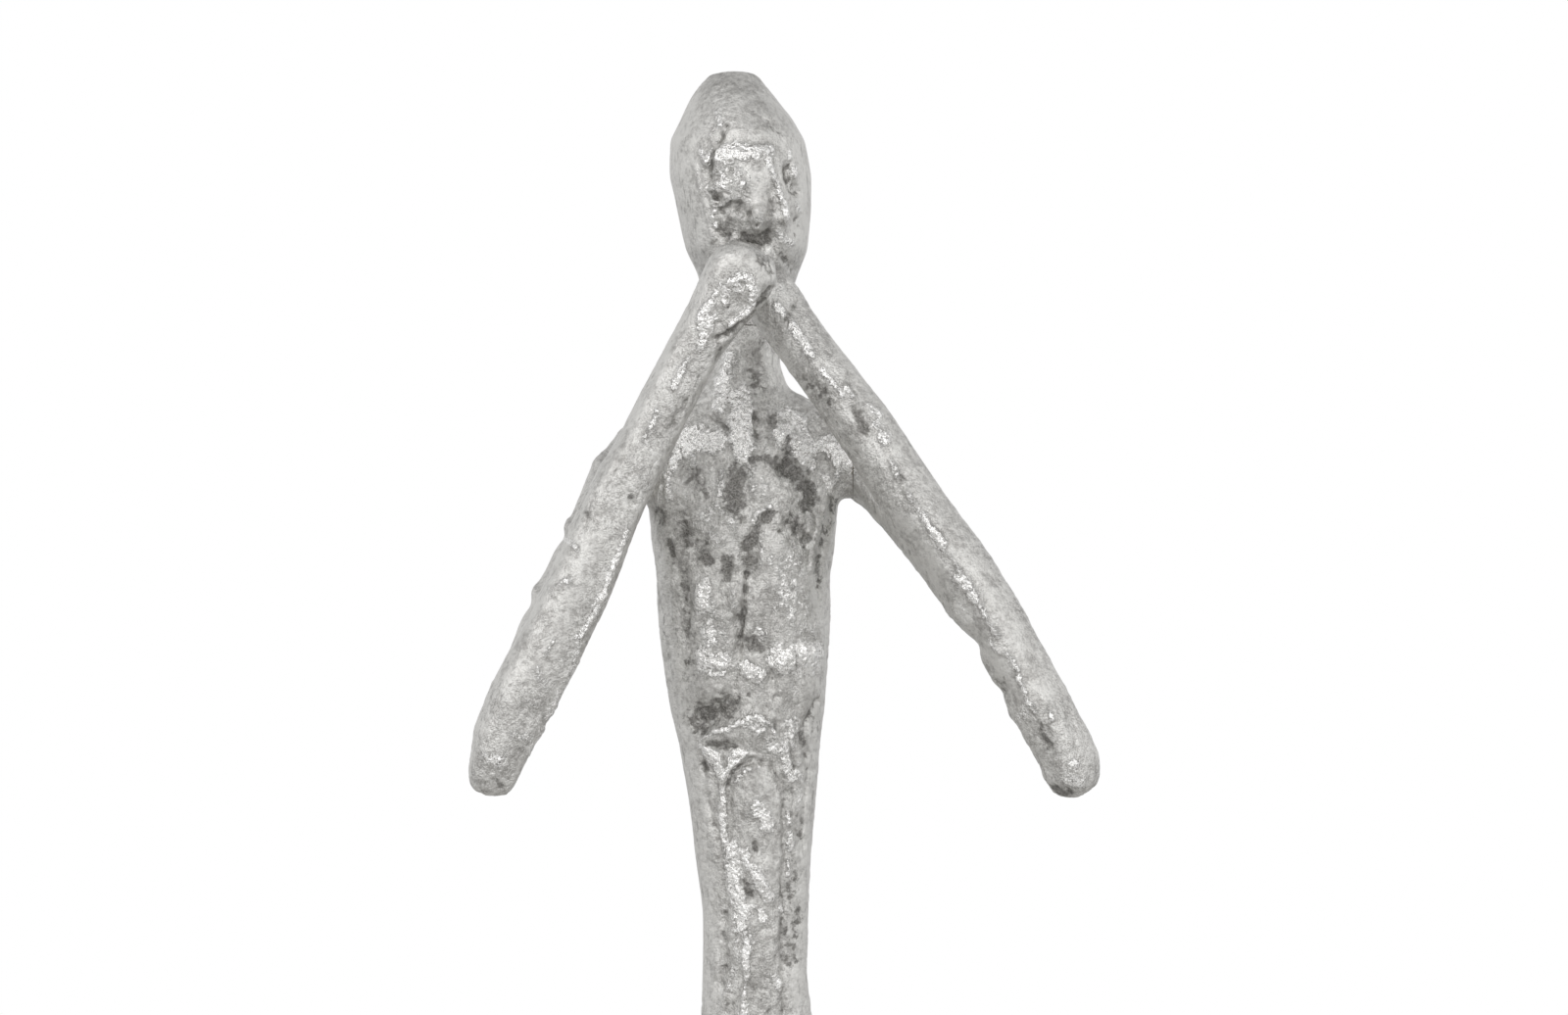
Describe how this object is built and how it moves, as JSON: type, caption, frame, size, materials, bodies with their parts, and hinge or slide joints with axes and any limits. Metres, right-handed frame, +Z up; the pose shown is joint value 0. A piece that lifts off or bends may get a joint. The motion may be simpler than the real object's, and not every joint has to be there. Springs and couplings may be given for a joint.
{
  "type": "full body display figure",
  "caption": "Life-size thin display figure with both hands held before the chin, rough silver-leafed hollow shells on a square steel base.",
  "frame": {"origin": "middle of the square base, on the floor under its rubber mat", "axes": "+Z up; the figure faces -Y; its left side is towards +X"},
  "size_m": [0.6172, 0.4169, 1.9],
  "materials": {
    "silver_leaf": "satin",
    "base_steel": "satin",
    "fitting_steel": "satin",
    "zinc_fixings": "satin",
    "mat_rubber": "matte",
    "bush_nylon": "matte"
  },
  "bodies": {
    "base": {"base_plate": "base_steel", "base_mat": "mat_rubber", "right_foot_post": "fitting_steel", "left_foot_post": "fitting_steel", "right_post_screw": "zinc_fixings", "left_post_screw": "zinc_fixings"},
    "lower_body": {"lower_body_shell": "silver_leaf", "hip_lower_plate": "fitting_steel", "hip_stud": "fitting_steel", "right_foot_socket": "fitting_steel", "left_foot_socket": "fitting_steel"},
    "right_screw": {"right_ankle_screw": "zinc_fixings"},
    "left_screw": {"left_ankle_screw": "zinc_fixings"},
    "torso": {"torso_shell": "silver_leaf", "hip_upper_plate": "fitting_steel", "neck_lower_plate": "fitting_steel", "neck_bush": "bush_nylon", "right_shoulder_plate": "fitting_steel", "left_shoulder_plate": "fitting_steel"},
    "head": {"head_shell": "silver_leaf", "head_plate": "fitting_steel", "neck_pin": "fitting_steel"},
    "right_arm": {"right_arm_shell": "silver_leaf", "right_arm_plate": "fitting_steel", "right_arm_peg": "fitting_steel"},
    "left_arm": {"left_arm_shell": "silver_leaf", "left_arm_plate": "fitting_steel", "left_arm_peg": "fitting_steel"}
  },
  "joints": [
    {"name": "figure_lift", "type": "slide", "parent": "base", "child": "lower_body", "axis": [0, 0, 1], "range_m": [0, 0.12]},
    {"name": "torso_turn", "type": "hinge", "parent": "lower_body", "child": "torso", "pos_m": [0.007, 0, 0.9], "axis": [0, 0, 1], "range_deg": [0, 40]},
    {"name": "head_turn", "type": "hinge", "parent": "torso", "child": "head", "pos_m": [-0.004, 0.014, 1.64], "axis": [0, 0, 1], "range_deg": [-30, 30]},
    {"name": "right_arm_pull", "type": "slide", "parent": "torso", "child": "right_arm", "axis": [-1, 0, 0], "range_m": [0, 0.05]},
    {"name": "left_arm_pull", "type": "slide", "parent": "torso", "child": "left_arm", "axis": [1, 0, 0], "range_m": [0, 0.05]},
    {"name": "right_ankle_screw_turn", "type": "hinge", "parent": "lower_body", "child": "right_screw", "pos_m": [-0.052, 0.014, 0.085], "axis": [0, 1, 0], "range_deg": [0, 360]},
    {"name": "left_ankle_screw_turn", "type": "hinge", "parent": "lower_body", "child": "left_screw", "pos_m": [0.066, -0.014, 0.085], "axis": [0, 1, 0], "range_deg": [0, 360]}
  ]
}
